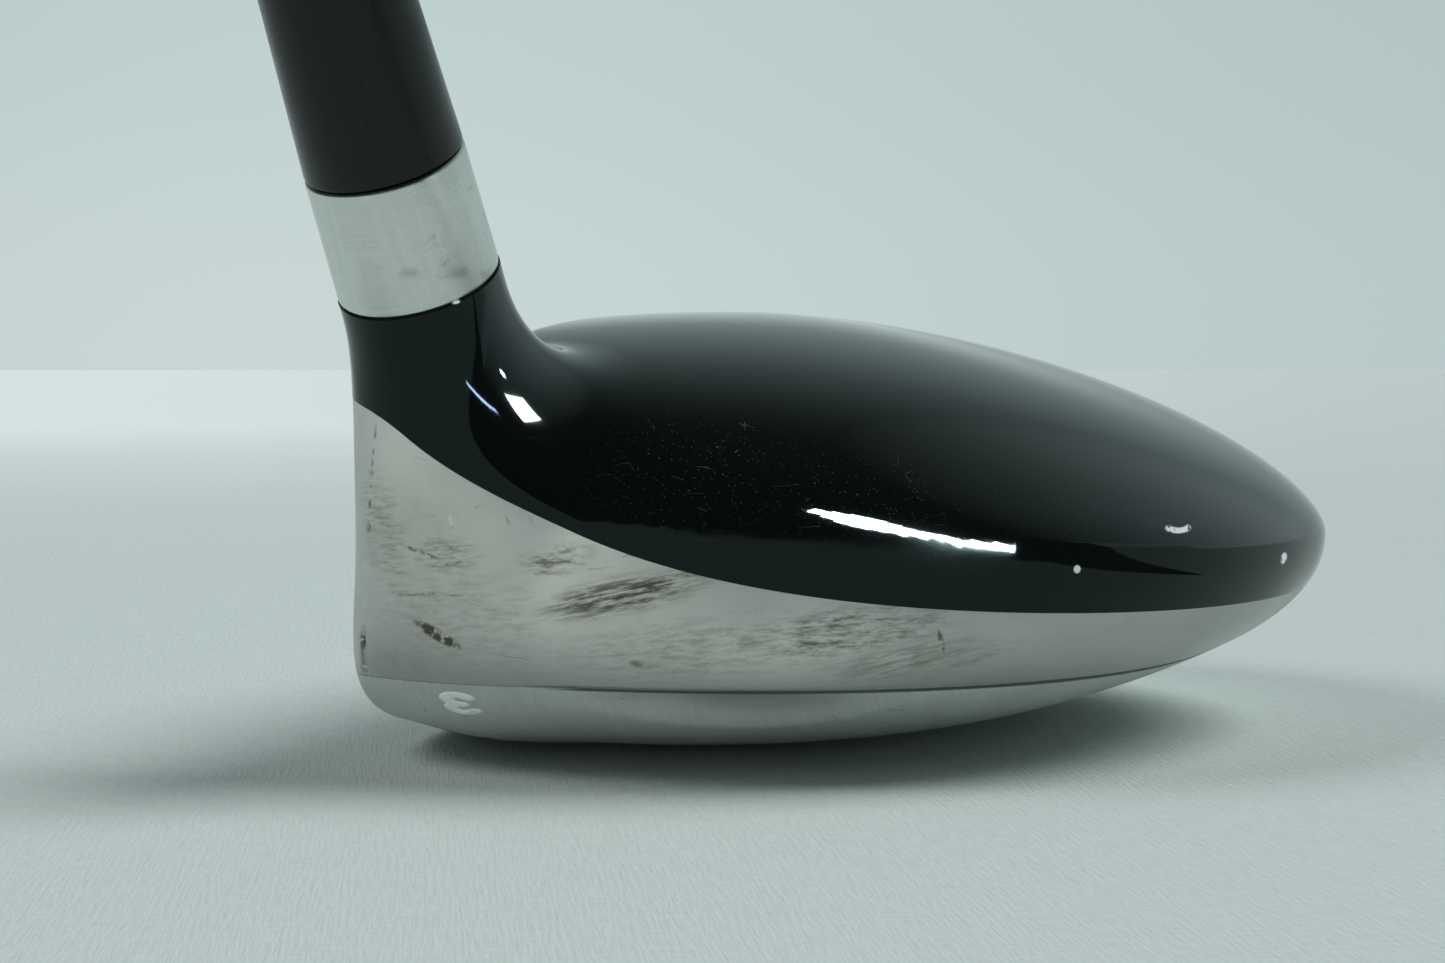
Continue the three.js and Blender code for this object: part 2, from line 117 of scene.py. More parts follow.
def by_side(values, x, y):
    along = np.where(x > 0, values["toe"], values["heel"])
    across = np.where(y > 0, values["front"], values["back"])
    return (along * x * x + across * y * y) / (x * x + y * y + 1e-12)


def body_field(p):
    x, y, z = p[..., 0], p[..., 1], p[..., 2]
    power = PLAN["power"]
    ax = np.where(x > 0, PLAN["toe"], PLAN["heel"])
    ay = np.where(y > 0, PLAN["front"], PLAN["back"])
    rho = (np.abs(x / ax) ** power + np.abs(y / ay) ** power) ** (1 / power)
    equator = by_side(EQUATOR, x, y)
    up = z > equator
    m = np.where(up, by_side(CROWN_POWER, x, y), by_side(SOLE_POWER, x, y))
    span = np.where(up, HEAD_TOP - equator, equator + HEAD_FLAT)
    rise = np.abs(z - equator) / span
    e = APEX_BLEND
    spread = ((rho * rho + e * e) ** (m / 2) - e**m) / ((1 + e * e) ** (m / 2) - e**m)
    return HEAD_SCALE * ((spread + rise**m) ** (1 / m) - 1)


def face_coordinates(p):
    """Out of the face, up it, and towards the toe."""
    dy, dz = p[..., 1] - FACE["y"], p[..., 2] - FACE["z"]
    c, s = np.cos(FACE["loft"]), np.sin(FACE["loft"])
    return dy * c + dz * s, dz * c - dy * s, p[..., 0]


def face_field(p):
    out, up, x = face_coordinates(p)
    return out + x * x / (2 * FACE["bulge"]) + up * up / (2 * FACE["roll"])


def neck_field(p):
    w = p - (AXIS_FOOT + AXIS * NECK["low"] / np.sin(LIE))
    along = np.maximum(w @ AXIS, 0)[..., None] * AXIS
    return np.linalg.norm(w - along, axis=-1) - NECK["radius"]


def head_field(p):
    body = smooth_max(body_field(p), face_field(p), FACE["edge"])
    return smooth_min(body, neck_field(p), NECK["blend"])


def slope(field, p, step=0.02):
    """The field's gradient, by central differences."""
    offsets = np.eye(3) * step
    return np.stack([(field(p + o) - field(p - o)) / (2 * step) for o in offsets], -1)


def unit(v):
    return v / np.linalg.norm(v, axis=-1, keepdims=True)


def onto_head(p, rounds=2):
    """Moves points that are close to the head's surface onto it."""
    for _ in range(rounds):
        g = slope(head_field, p)
        p = p - g * (head_field(p) / (g * g).sum(-1))[..., None]
    return p


def cast_to_head(origin, direction, reach=95.0, halvings=34):
    """Where rays that start inside the head leave it."""
    low = np.zeros(direction.shape[:-1])
    high = np.full(direction.shape[:-1], reach)
    for _ in range(halvings):
        middle = (low + high) / 2
        inside = head_field(origin + direction * middle[..., None]) < 0
        low, high = np.where(inside, middle, low), np.where(inside, high, middle)
    return origin + direction * low[..., None]


def grid(rows, columns, rows_close=True, columns_close=True):
    """Two triangles for each cell of a grid of points, which may close on itself both ways."""
    i, j = np.indices((rows - (not rows_close), columns - (not columns_close)))
    a, b = i * columns + j, i * columns + (j + 1) % columns
    c, d = (i + 1) % rows * columns + j, (i + 1) % rows * columns + (j + 1) % columns
    return np.stack([a, b, c, b, d, c], -1).reshape(-1, 3)


# ---- sections from the neck's rim, round the heel, to the toe ----
def section_frames(neck_rows=6, fan_rows=84, body_rows=124):
    """Each section's centre, its upward direction, and how much it is stretched along y."""
    level = SPINE["turn_at"] / np.sin(LIE)
    pivot = AXIS_FOOT + AXIS * level + ACROSS * SPINE["pivot"]
    frames = []
    for i in range(neck_rows):
        s = lerp(NECK["rim"], level, i / neck_rows)
        frames.append((AXIS_FOOT + AXIS * s, ACROSS, 1.0))
    for t in np.linspace(0, 1, fan_rows):
        angle = LIE * (1 - t)
        up = np.array([np.sin(angle), 0, np.cos(angle)])
        centre = pivot - up * lerp(SPINE["pivot"], pivot[2] - SPINE["z"], t)
        centre[1] = lerp(AXIS_FOOT[1], SPINE["y"], t**1.5)
        frames.append((centre, up, 1 + (SPINE["stretch"] - 1) * t))
    for i in range(1, body_rows + 1):
        t = np.sin(SPINE["end"] * np.pi * i / (2 * body_rows))
        y = SPINE["y"] - SPINE["y"] * t**3
        centre = np.array([lerp(pivot[0], PLAN["toe"], t), y, SPINE["z"]])
        frames.append((centre, np.array([0, 0, 1.0]), SPINE["stretch"]))
    return frames


def head_skin(around=300):
    """Points and triangles of the whole head, open at the neck's rim."""
    centres, ups, stretch = (np.array(column)[:, None] for column in zip(*section_frames()))
    angle = np.linspace(0, 2 * np.pi, around, endpoint=False)
    side = np.array([0, 1.0, 0]) * stretch[..., None]
    direction = unit(np.cos(angle)[:, None] * ups + np.sin(angle)[:, None] * side)
    points = cast_to_head(centres, direction)
    rows = len(centres)
    sides = grid(rows, around, rows_close=False)[:, [0, 2, 1]]
    last = (rows - 1) * around + np.arange(around)
    hub = rows * around
    fan = np.stack([np.full(around, hub), np.roll(last, -1), last], -1)
    points = points.reshape(-1, 3)
    toe = onto_head(points[last].mean(0)[None], 6)
    return np.concatenate([points, toe]), np.concatenate([sides, fan])


# ---- lines on the head; each is a field that is zero on the line ----
def paint_line(p):
    skirt = PAINT["low"] + PAINT["rise"] * np.exp(np.minimum(p[..., 1], 30) / PAINT["decay"])
    top = PAINT["top"] - (p[..., 0] - PAINT["top_x"]) ** 2 / (2 * PAINT["bow"])
    return p[..., 2] - smooth_min(skirt, top, PAINT["round"])


def seam_line(p):
    x, y = p[..., 0] - SOLE["x"], p[..., 1] - SOLE["y"]
    wide, deep, power = SOLE["half_width"], SOLE["reach"], SOLE["power"]
    behind = np.abs(x) - wide
    ahead = ((np.abs(x / wide) ** power + np.abs(y / deep) ** power) ** (1 / power) - 1) * deep
    return np.maximum(p[..., 2] - SOLE["seam"], np.where(y < 0, behind, ahead))


def plate_line(p):
    """The face plate's rounded outline. Off the front it stays at a distance."""
    out, up, x = face_coordinates(p)
    corner = PLATE["corner"]
    dx = np.abs(x - PLATE["x"]) - PLATE["width"] / 2 + corner
    dz = np.abs(up - PLATE["up"]) - PLATE["height"] / 2 + corner
    outline = np.hypot(np.maximum(dx, 0), np.maximum(dz, 0)) + np.minimum(np.maximum(dx, dz), 0)
    return np.where(out > -PLATE["reach"], outline - corner, PLATE["far"])


def groove_line(index):
    def distance(p):
        _, up, x = face_coordinates(p)
        middle = PLATE["up"] + (index - (GROOVE["count"] - 1) / 2) * GROOVE["pitch"]
        beyond = np.maximum(np.abs(x - PLATE["x"]) - GROOVE["length"] / 2, 0)
        return np.hypot(up - middle, beyond)
    return distance


def on_skin(field, least_slope=0.2):
    """The same line's distance measured along the head's surface."""
    def distance(p):
        normal = unit(slope(head_field, p))
        g = slope(field, p)
        g = g - normal * (g * normal).sum(-1, keepdims=True)
        return field(p) / np.maximum(np.linalg.norm(g, axis=-1), least_slope)
    return distance


seam_distance = on_skin(seam_line)
plate_distance = on_skin(plate_line)


# ---- relief: how far the finished surface stands off the plain head ----
def seam_dip(distance):
    """The inward rounding beside a seam."""
    return -SEAM["depth"] * np.maximum(1 - np.abs(distance) / SEAM["round"], 0) ** 2


def seam_groove(p):
    """The rounded joint at the sole plate, which closes up round the heel."""
    start, end = SEAM["fades"]
    share = np.clip((start - p[..., 1]) / (start - end), 0, 1)
    return share * seam_dip(seam_distance(p))


def body_relief(p):
    return seam_groove(p) + seam_dip(plate_distance(p))


def scoop_share(p):
    """A lens that hangs from the seam: 0 at its edge, 1 in its middle."""
    t = (p[..., 1] - SCOOP["y"]) / SCOOP["half_length"]
    below = (SOLE["seam"] - p[..., 2]) / SCOOP["height"]
    share = np.maximum(4 * below * (1 - t * t - below), 0) ** 1.5
    return np.where((below > 0) & (p[..., 0] < 0), share, 0)


def sole_relief(p):
    return seam_groove(p) - SCOOP["depth"] * scoop_share(p)


def face_relief(p):
    relief = seam_dip(plate_distance(p))
    half = GROOVE["width"] / 2
    for i in range(GROOVE["count"]):
        inward = np.clip((half - groove_line(i)(p)) / (half / 3), 0, 1)
        relief = relief - GROOVE["depth"] * inward
    return relief


# ---- cutting a triangle mesh along a line ----
def cut_along(points, triangles, field):
    """Splits triangles where field changes sign; new points are put on the head."""
    value = field(points)
    value[np.abs(value) < 1e-3] = 0
    side = np.sign(value).astype(int)[triangles]
    crossing = (side.min(1) < 0) & (side.max(1) > 0)
    cut, side = triangles[crossing], side[crossing]
    total = side.sum(1)
    lone = (side == -total[:, None]).argmax(1)
    first = np.where(total == 0, np.abs(side).argmin(1), lone)
    turn = (first[:, None] + np.arange(3)) % 3
    a, b, c = np.take_along_axis(cut, turn, 1).T
    through = total == 0
    pairs = np.concatenate([
        np.stack([b, c], -1)[through], np.stack([a, b], -1)[~through],
        np.stack([a, c], -1)[~through]])
    edges, index = np.unique(np.sort(pairs, 1), axis=0, return_inverse=True)
    index = index.ravel() + len(points)
    u, v = edges.T
    t = (value[u] / (value[u] - value[v]))[:, None]
    made = onto_head(points[u] * (1 - t) + points[v] * t)
    n = through.sum()
    p, (q, r) = index[:n], np.split(index[n:], 2)
    halves = [(a[through], b[through], p), (a[through], p, c[through])]
    a, b, c = a[~through], b[~through], c[~through]
    thirds = [(a, q, r), (q, b, c), (q, c, r)]
    new = [np.stack(corner, -1) for corner in halves + thirds]
    return np.concatenate([points, made]), np.concatenate([triangles[~crossing], *new])


def only(points, triangles, keep):
    """The triangles that keep picks, with just the points they use."""
    triangles = triangles[keep]
    used, index = np.unique(triangles, return_inverse=True)
    return points[used], index.reshape(-1, 3)


def side_of(points, triangles, field):
    """The field in the middle of each triangle."""
    return field(points[triangles].mean(1))


# ---- from arrays to Blender objects ----
def new_object(name, data):
    thing = bpy.data.objects.new(name, data)
    bpy.context.scene.collection.objects.link(thing)
    return thing


def new_piece(name, points, triangles, look, slot=None, corner_normals=None, uv=None):
    mesh = bpy.data.meshes.new(name)
    mesh.vertices.add(len(points))
    mesh.vertices.foreach_set("co", (points * MM).astype(np.float32).ravel())
    mesh.loops.add(triangles.size)
    mesh.loops.foreach_set("vertex_index", triangles.astype(np.int32).ravel())
    mesh.polygons.add(len(triangles))
    mesh.polygons.foreach_set("loop_start", np.arange(0, triangles.size, 3, dtype=np.int32))
    mesh.update(calc_edges=True)
    if uv is not None:
        layer = mesh.uv_layers.new(name="surface")
        layer.data.foreach_set("uv", (uv[triangles] * MM).astype(np.float32).ravel())
    mesh.shade_smooth()
    if corner_normals is not None:
        mesh.normals_split_custom_set(corner_normals.reshape(-1, 3).astype(np.float32))
    mesh.materials.append(look)
    piece = new_object(name, mesh)
    if slot:
        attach(piece, ROOT)
    return piece


def shell_from_skin(name, points, triangles, relief, depth, look, slot):
    """A closed shell: outside the skin with its relief, inside the plain skin moved in."""
    plain = unit(slope(head_field, points))
    height = relief(points)
    g = slope(relief, points, 0.03)
    g = g - plain * (g * plain).sum(-1, keepdims=True)
    normal = unit(plain - g)
    outer = points + plain * height[:, None]
    inner = points - plain * depth
    n = len(points)
    edge = triangles[:, [0, 1, 1, 2, 2, 0]].reshape(-1, 2)
    forward = edge[:, 0] * n + edge[:, 1]
    backward = edge[:, 1] * n + edge[:, 0]
    a, b = edge[~np.isin(forward, backward)].T
    wall = np.concatenate([np.stack([b, a, a + n], -1), np.stack([b, a + n, b + n], -1)])
    every = np.concatenate([outer, inner])
    corners = every[wall]
    flat = unit(np.cross(corners[:, 1] - corners[:, 0], corners[:, 2] - corners[:, 0]) + 1e-12)
    inside = triangles[:, ::-1]
    corner_normals = np.concatenate([
        normal[triangles], -plain[inside], np.repeat(flat[:, None], 3, 1)])
    uv = np.stack([np.arctan2(every[:, 1], -every[:, 0]) * UV_RADIUS, every[:, 2]], -1)
    faces = np.concatenate([triangles, inside + n, wall])
    return new_piece(name, every, faces, look, slot, corner_normals, uv)


def rounded(profile, radius, steps=5, most=0.45):
    """The closed profile with each corner rounded over at most that share of an edge."""
    out = []
    count = len(profile)
    for i in range(count):
        before, corner, after = (np.array(profile[k % count], float) for k in (i - 1, i, i + 1))
        to, fro = before - corner, after - corner
        reach = min(radius, np.linalg.norm(to) * most, np.linalg.norm(fro) * most)
        start, end = corner + unit(to) * reach, corner + unit(fro) * reach
        for t in np.linspace(0, 1, steps):
            out.append((1 - t) ** 2 * start + 2 * t * (1 - t) * corner + t * t * end)
    return out


def turned(name, profile, look, slot, segments=128, shape=None, sharp=35):
    """A closed profile of (radius, station) points turned about the shaft axis.

    shape(radius, station, angle) adds to the radius.
    """
    profile = np.array(profile)
    angle = np.linspace(0, 2 * np.pi, segments, endpoint=False)
    radial = np.cos(angle)[:, None] * ACROSS + np.sin(angle)[:, None] * np.array([0, 1.0, 0])
    radius = np.repeat(profile[:, :1], segments, 1)
    if shape is not None:
        radius = radius + shape(profile[:, :1], profile[:, 1:], angle[None])
    points = AXIS_FOOT + AXIS * profile[:, 1, None, None] + radial * radius[..., None]
    around = np.abs((angle + np.pi) % (2 * np.pi) - np.pi)[None] * profile[:, :1]
    uv = np.stack([around, np.repeat(profile[:, 1:], segments, 1)], -1)
    piece = new_piece(name, points.reshape(-1, 3), grid(len(profile), segments), look, slot,
                      uv=uv.reshape(-1, 2))
    piece.data.set_sharp_from_angle(angle=np.radians(sharp))
    return piece


# ---- procedural materials ----
class Nodes:
    """A node tree with short calls: each adds nodes and gives back what they put out."""

    def __init__(self, tree):
        self.tree = tree

    def add(self, kind, inputs=(), output=0, **settings):
        node = self.tree.nodes.new("ShaderNode" + kind)
        for key, value in settings.items():
            setattr(node, key, value)
        for key, value in dict(inputs).items():
            if isinstance(value, bpy.types.NodeSocket):
                self.tree.links.new(value, node.inputs[key])
            else:
                node.inputs[key].default_value = value
        return node.outputs[output]

    def dot(self, vector, direction):
        return self.add("VectorMath", {0: vector, 1: tuple(direction)}, output="Value",
                        operation="DOT_PRODUCT")

    def length(self, vector):
        return self.add("VectorMath", {0: vector}, output="Value", operation="LENGTH")

    def between(self, value, low, high, start=0.0, end=1.0):
        """Goes smoothly from start to end as value goes from low to high."""
        return self.add("MapRange", {
            "Value": value, "From Min": low, "From Max": high, "To Min": start, "To Max": end,
        }, interpolation_type="SMOOTHSTEP")

    def math(self, operation, a, b=0.0):
        return self.add("Math", {0: a, 1: b}, operation=operation)

    def plus(self, a, b):
        return self.math("ADD", a, b)

    def minus(self, a, b):
        return self.math("SUBTRACT", a, b)

    def times(self, *values):
        return reduce(lambda a, b: self.math("MULTIPLY", a, b), values)

    def most(self, *values):
        return reduce(lambda a, b: self.math("MAXIMUM", a, b), values)

    def mixed(self, factor, first, second):
        """Mixes two colours, each an (r, g, b) or what a node puts out."""
        first, second = ((*colour, 1) if isinstance(colour, tuple) else colour
                         for colour in (first, second))
        return self.add("Mix", {0: factor, 6: first, 7: second}, output=2, data_type="RGBA")

    def toned(self, value, low, high, first, second):
        """Goes from the first colour to the second as value goes from low to high."""
        return self.mixed(self.between(value, low, high), first, second)


class Look(Nodes):
    """One material. Colour, roughness and bump are linked to its Principled shader."""

    def __init__(self, name, **settings):
        self.material = bpy.data.materials.new(name)
        self.material.use_nodes = True
        super().__init__(self.material.node_tree)
        self.shader = self.tree.nodes["Principled BSDF"]
        for key, value in settings.items():
            self.shader.inputs[key.replace("_", " ")].default_value = value

    def place(self, scale=(1, 1, 1), turn=0.0, source="Object"):
        """Coordinates in metres: the frame's own, or the surface's (around, height)."""
        return self.mapped(source, (0, 0, 0), turn, 1 / np.array(scale))

    def mapped(self, source, centre, turn, size):
        """Moves centre to the origin, turns about Z, and divides by size."""
        return self.add("Mapping", {
            "Vector": self.add("TexCoord", output=source), "Location": tuple(centre),
            "Rotation": (0, 0, np.radians(turn)), "Scale": tuple(size)}, vector_type="TEXTURE")

    def noise(self, vector, scale, detail=4, roughness=0.5, distortion=0.0):
        return self.add("TexNoise", {
            "Vector": vector, "Scale": scale, "Detail": detail, "Roughness": roughness,
            "Distortion": distortion})

    def near(self, centre, radii, inner=0.2):
        """1 around a point of the club in millimetres, fading to 0 at radii."""
        return self.blob("Object", centre, 0, radii, inner)

    def mark(self, along, height, length, width, turn=0, inner=0.2):
        """1 inside a tilted ellipse given by half sizes on the surface's own coordinates."""
        return self.blob("UV", (along, height, 0), turn, (length, width, 1), inner)

    def marks(self, *rows):
        """The strongest of several marks: each row is a strength and then what mark takes."""
        return self.most(*[self.times(self.mark(*row), strength) for strength, *row in rows])

    def seam_grime(self):
        """1 along the level part of the sole plate's seam, fading out round the heel."""
        place = self.add("TexCoord", output="Object")
        y, height = (self.add("SeparateXYZ", {0: place}, output=axis) for axis in (1, 2))
        off = self.math("ABSOLUTE", self.minus(height, SOLE["seam"] * MM))
        start, end = (limit * MM for limit in SEAM["fades"])
        width = SEAM["grime"] * MM
        return self.times(self.between(off, width / 2, width * 1.5, 1.0, 0.0),
                          self.between(y, end, start, 1.0, 0.0))

    def blob(self, source, centre, turn, radii, inner):
        scaled = self.mapped(source, np.array(centre) * MM, turn, np.array(radii) * MM)
        return self.between(self.length(scaled), inner, 1.0, 1.0, 0.0)

    def hairlines(self, vector, scale, width, amount, seed_shift):
        """Sparse thin scratches: where a stretched noise passes its middle, in some places."""
        line = self.noise(vector, scale, detail=1, distortion=0.6)
        ridge = self.math("ABSOLUTE", self.minus(line, 0.5))
        thin = self.between(ridge, 0.0, width, 1.0, 0.0)
        shifted = self.add("Mapping", {"Vector": vector, "Location": (seed_shift, 0, 0)})
        patches = self.between(self.noise(shifted, scale * 2.5, 2), 1 - amount, 1.05 - amount)
        return self.times(thin, patches)

    def specks(self, vector, scale, size, share):
        """Dust: a small dot in some cells of a fine cell pattern."""
        distance, colour = (self.add("TexVoronoi", {"Vector": vector, "Scale": scale}, output=key)
                            for key in ("Distance", "Color"))
        chance = self.add("SeparateColor", {0: colour})
        return self.times(self.between(distance, size * 0.4, size, 1.0, 0.0),
                          self.math("LESS_THAN", chance, share))

    def finished(self, colour, roughness, height, distance, strength):
        """Links colour, roughness and a bump of distance millimetres; gives the material."""
        bump = {"Height": height, "Distance": distance * MM, "Strength": strength}
        normal = self.add("Bump", bump)
        for key, value in (("Base Color", colour), ("Roughness", roughness), ("Normal", normal)):
            self.tree.links.new(value, self.shader.inputs[key])
        return self.material


def black_paint():
    look = Look("black_paint", IOR=1.32, Specular_Tint=(0.7, 0.98, 0.95, 1))
    place = look.place()
    wide = look.place(scale=(1, 1, 2.5), turn=25)
    dust_zone = look.most(
        look.near((-53, -19, 26), (10, 14, 8)), look.near((-50, -32, 24), (14, 14, 6)),
        look.between(look.noise(place, 35, 3), 0.52, 0.75, 0.0, 0.3))
    dust = look.times(look.specks(place, 2300, 0.17, 0.12), dust_zone, 0.14)
    fine_dust = look.times(look.specks(place, 4600, 0.3, 0.22), dust_zone, 0.1)
    scratches = look.times(look.hairlines(wide, 160, 0.003, 0.42, 3.1), dust_zone, 0.22)
    chips = look.most(
        look.minus(look.near((-27.2, -51.9, 20.7), (1.9, 1.7, 0.5), inner=0.75),
                   look.near((-27.0, -51.9, 21.2), (1.6, 1.5, 0.55), inner=0.75)),
        look.near((-10.7, -57.5, 17.2), (0.9, 0.9, 0.6), inner=0.7),
        look.near((-36.8, -45.8, 17.7), (0.4, 0.4, 0.4), inner=0.7),
        look.near((-60.9, -1.2, 39.7), (0.7, 0.7, 0.45), inner=0.7))
    chips = look.times(chips, look.between(look.noise(place, 1400, 3), 0.35, 0.44))
    marks = look.most(dust, fine_dust, scratches, chips)
    colour = look.mixed(marks, (0.006, 0.0078, 0.0075), (0.9, 0.95, 0.94))
    haze = look.between(look.noise(place, 60, 5), 0.3, 0.8, 0.03, 0.07)
    peel = look.times(look.noise(place, 260, 2), 0.1)
    return look.finished(colour, look.plus(haze, look.times(marks, 0.5)),
                         look.minus(peel, chips), 0.04, 0.5)


def cast_steel():
    look = Look("cast_steel", Metallic=1.0)
    place = look.place()
    along = look.place(scale=(1, 9, 1), turn=-14, source="UV")
    level = look.place(scale=(1, 4, 1), turn=-4, source="UV")
    cloud = look.noise(place, 55, 6, 0.62)
    grain = look.noise(place, 2600, 3, 0.6)
    brushed = look.noise(look.place(scale=(1, 14, 1), turn=-4, source="UV"), 300, 5, 0.7)
    streaks = look.between(look.noise(along, 380, 8, 0.78), 0.4, 0.58)
    patches = look.between(look.noise(level, 480, 8, 0.8), 0.42, 0.64)
    rubbed = look.times(look.marks(
        (1.0, -11.6, 15.8, 9, 2.1, -14), (1.0, -14.5, 16.9, 7, 0.8, -15),
        (0.5, -32, 10.6, 9, 2.2, -10)), streaks)
    soiled = look.times(look.marks(
        (0.8, -6.7, 18.6, 4.2, 1.8, -14), (0.75, 1.5, 18.8, 3.6, 2.2),
        (0.85, -27.5, 12.9, 11, 3.2, -8), (0.28, 1.0, 13.6, 12, 6.5),
        (0.4, -17, 11.5, 15, 4.0, -6), (0.45, 6.5, 20.5, 3.0, 8.0),
        (0.5, -21, 12.2, 9, 1.5, 8), (0.4, -37, 10.2, 6, 1.0, -20),
        (1.0, 3.2, 15.5, 6.0, 0.5, -3)), patches)
    strokes = look.marks(
        (1.0, 3.1, 12.1, 2.7, 0.7, 30, 0.5), (0.7, 3.6, 19.1, 2.3, 0.22, 20, 0.5),
        (0.8, -34.6, 12.1, 1.3, 0.25, 72, 0.5), (0.6, -12.6, 10.2, 0.9, 0.5, 10))
    strokes = look.times(strokes, look.between(look.noise(place, 700, 4, 0.7), 0.4, 0.5))
    patina = look.between(look.noise(place, 170, 5, 0.7), 0.56, 0.78, 0.0, 0.3)
    cuts = look.most(look.hairlines(along, 60, 0.006, 0.4, 5.3),
                     look.hairlines(look.place(scale=(3, 1, 2)), 60, 0.005, 0.36, 9.7))
    dirt = look.most(rubbed, soiled, strokes, look.times(patina, 0.5), look.times(cuts, 0.35))
    base = look.toned(cloud, 0.3, 0.75, (0.7, 0.7, 0.655), (0.61, 0.61, 0.57))
    # Painted shade: a broad darker patch on the lower skirt towards the back, where less light
    # falls.
    painted_shade_back = look.mark(-50, 11, 30, 16, inner=0.3)
    base = look.mixed(look.times(painted_shade_back, 0.6), base, (0.42, 0.43, 0.41))
    dirty = look.mixed(dirt, base, (0.17, 0.155, 0.125))
    colour = look.mixed(look.seam_grime(), dirty, SEAM_DIRT)
    rough = look.between(look.plus(look.times(cloud, 0.6), look.times(brushed, 0.4)),
                         0.3, 0.7, 0.42, 0.56)
    height = look.plus(look.times(grain, 0.35), look.times(brushed, 0.4))
    return look.finished(colour, look.plus(rough, look.times(dirt, 0.25)),
                         look.minus(height, look.times(cuts, 0.8)), 0.03, 0.6)


def sole_steel():
    look = Look("sole_steel", Metallic=0.15)
    place = look.place()
    brushed = look.noise(look.place(scale=(1, 20, 1), turn=8), 140, 6, 0.7)
    cloud = look.noise(place, 70, 5)
    cuts = look.hairlines(look.place(scale=(1, 6, 1), turn=-35), 60, 0.006, 0.48, 2.2)
    wear = look.most(look.times(cuts, 0.6), look.between(cloud, 0.55, 0.8, 0.0, 0.35))
    base = look.toned(brushed, 0.3, 0.7, (0.5, 0.54, 0.51), (0.57, 0.61, 0.58))
    # Painted shade: the scoop's lens is darkened. worn mixes this painted shade with the real
    # wear into one darker colour.
    scoop_painted_shade = look.mark(-22, 7.0, 8.5, 1.9, inner=0.3)
    worn = look.mixed(look.most(wear, look.times(scoop_painted_shade, 0.45)), base, (0.24, 0.25, 0.23))
    colour = look.mixed(look.seam_grime(), worn, SEAM_DIRT)
    return look.finished(colour, look.between(brushed, 0.25, 0.75, 0.42, 0.56),
                         look.minus(brushed, cuts), 0.03, 0.4)


def bare_steel():
    look = Look("bare_steel", Metallic=1.0)
    turning = look.noise(look.place(scale=(1, 40, 1), source="UV"), 220, 4, 0.7)
    lengthwise = look.noise(look.place(scale=(12, 1, 1), source="UV"), 120, 4, 0.6)
    place = look.place()
    cloud = look.noise(place, 180, 5)
    edge_dirt = look.times(look.near((-57.8, 4.2, 41.8), (9, 9, 1.2), inner=0.6),
                           look.between(look.noise(place, 500, 4), 0.45, 0.7))
    stains = look.most(look.between(look.noise(place, 420, 5, 0.7), 0.6, 0.8, 0.0, 0.5),
                       look.times(edge_dirt, 0.6))
    grain = look.plus(look.times(lengthwise, 0.4), look.times(turning, 0.6))
    base = look.toned(grain, 0.3, 0.7, (0.74, 0.77, 0.72), (0.62, 0.65, 0.61))
    return look.finished(look.mixed(stains, base, (0.16, 0.16, 0.14)),
                         look.between(cloud, 0.3, 0.75, 0.22, 0.36),
                         look.plus(turning, look.times(cloud, 0.3)), 0.03, 0.6)


def face_steel():
    look = Look("face_steel", Metallic=1.0)
    place = look.place()
    blast = look.noise(place, 3200, 3, 0.7)
    brushed = look.noise(look.place(scale=(1, 1, 22)), 150, 5, 0.7)
    scuffs = look.times(look.near((-2, 19, 17), (20, 12, 12)),
                        look.between(look.noise(place, 320, 5, 0.7), 0.52, 0.72, 0.0, 0.5))
    base = look.toned(brushed, 0.3, 0.7, (0.5, 0.54, 0.53), (0.4, 0.44, 0.43))
    return look.finished(look.mixed(scuffs, base, (0.14, 0.14, 0.13)),
                         look.between(blast, 0.3, 0.7, 0.36, 0.5),
                         look.plus(look.times(blast, 0.5), brushed), 0.03, 0.6)


def white_enamel():
    look = Look("white_enamel")
    place = look.place()
    stain = look.between(look.noise(place, 900, 4), 0.5, 0.75, 0.0, 0.6)
    return look.finished(look.mixed(stain, (0.92, 0.95, 0.94), (0.55, 0.58, 0.56)),
                         look.between(stain, 0.0, 0.6, 0.35, 0.6),
                         look.noise(place, 1500, 3), 0.03, 0.5)


def satin_plastic():
    look = Look("ferrule_plastic", Specular_IOR_Level=0.3)
    place = look.place()
    cloud = look.noise(place, 90, 5, 0.6)
    along = look.place(scale=(10, 1, 1), source="UV")
    # Painted sheen: lighter lengthwise streaks, in patches, on the dark plastic.
    painted_sheen_streaks = look.times(look.between(look.noise(along, 150, 5, 0.7), 0.56, 0.76),
                      look.between(look.noise(place, 45, 2), 0.45, 0.6, 0.0, 0.7))
    return look.finished(look.mixed(painted_sheen_streaks, (0.0035, 0.0065, 0.006), (0.014, 0.02, 0.019)),
                         look.between(cloud, 0.3, 0.75, 0.24, 0.38),
                         look.noise(place, 1600, 3), 0.03, 0.5)


def graphite():
    look = Look("shaft_graphite", Coat_Weight=0.7, Coat_Roughness=0.06)
    wrap = look.noise(look.place(scale=(1, 5, 1), turn=30, source="UV"), 160, 5, 0.6)
    fibre = look.noise(look.place(scale=(30, 1, 1), source="UV"), 160, 4, 0.7)
    tone = look.plus(look.times(wrap, 0.6), look.times(fibre, 0.4))
    return look.finished(look.toned(tone, 0.35, 0.7, (0.012, 0.014, 0.016), (0.05, 0.056, 0.062)),
                         look.between(fibre, 0.3, 0.7, 0.22, 0.34), fibre, 0.02, 0.3)


def rubber():
    look = Look("grip_rubber")
    place = look.place()
    worn = look.between(look.noise(place, 26, 4), 0.45, 0.7)
    colour = look.mixed(look.times(worn, 0.7), (0.014, 0.015, 0.016), (0.035, 0.037, 0.038))
    return look.finished(colour, look.between(worn, 0.0, 1.0, 0.78, 0.6),
                         look.noise(place, 1800, 3, 0.7), 0.08, 0.7)


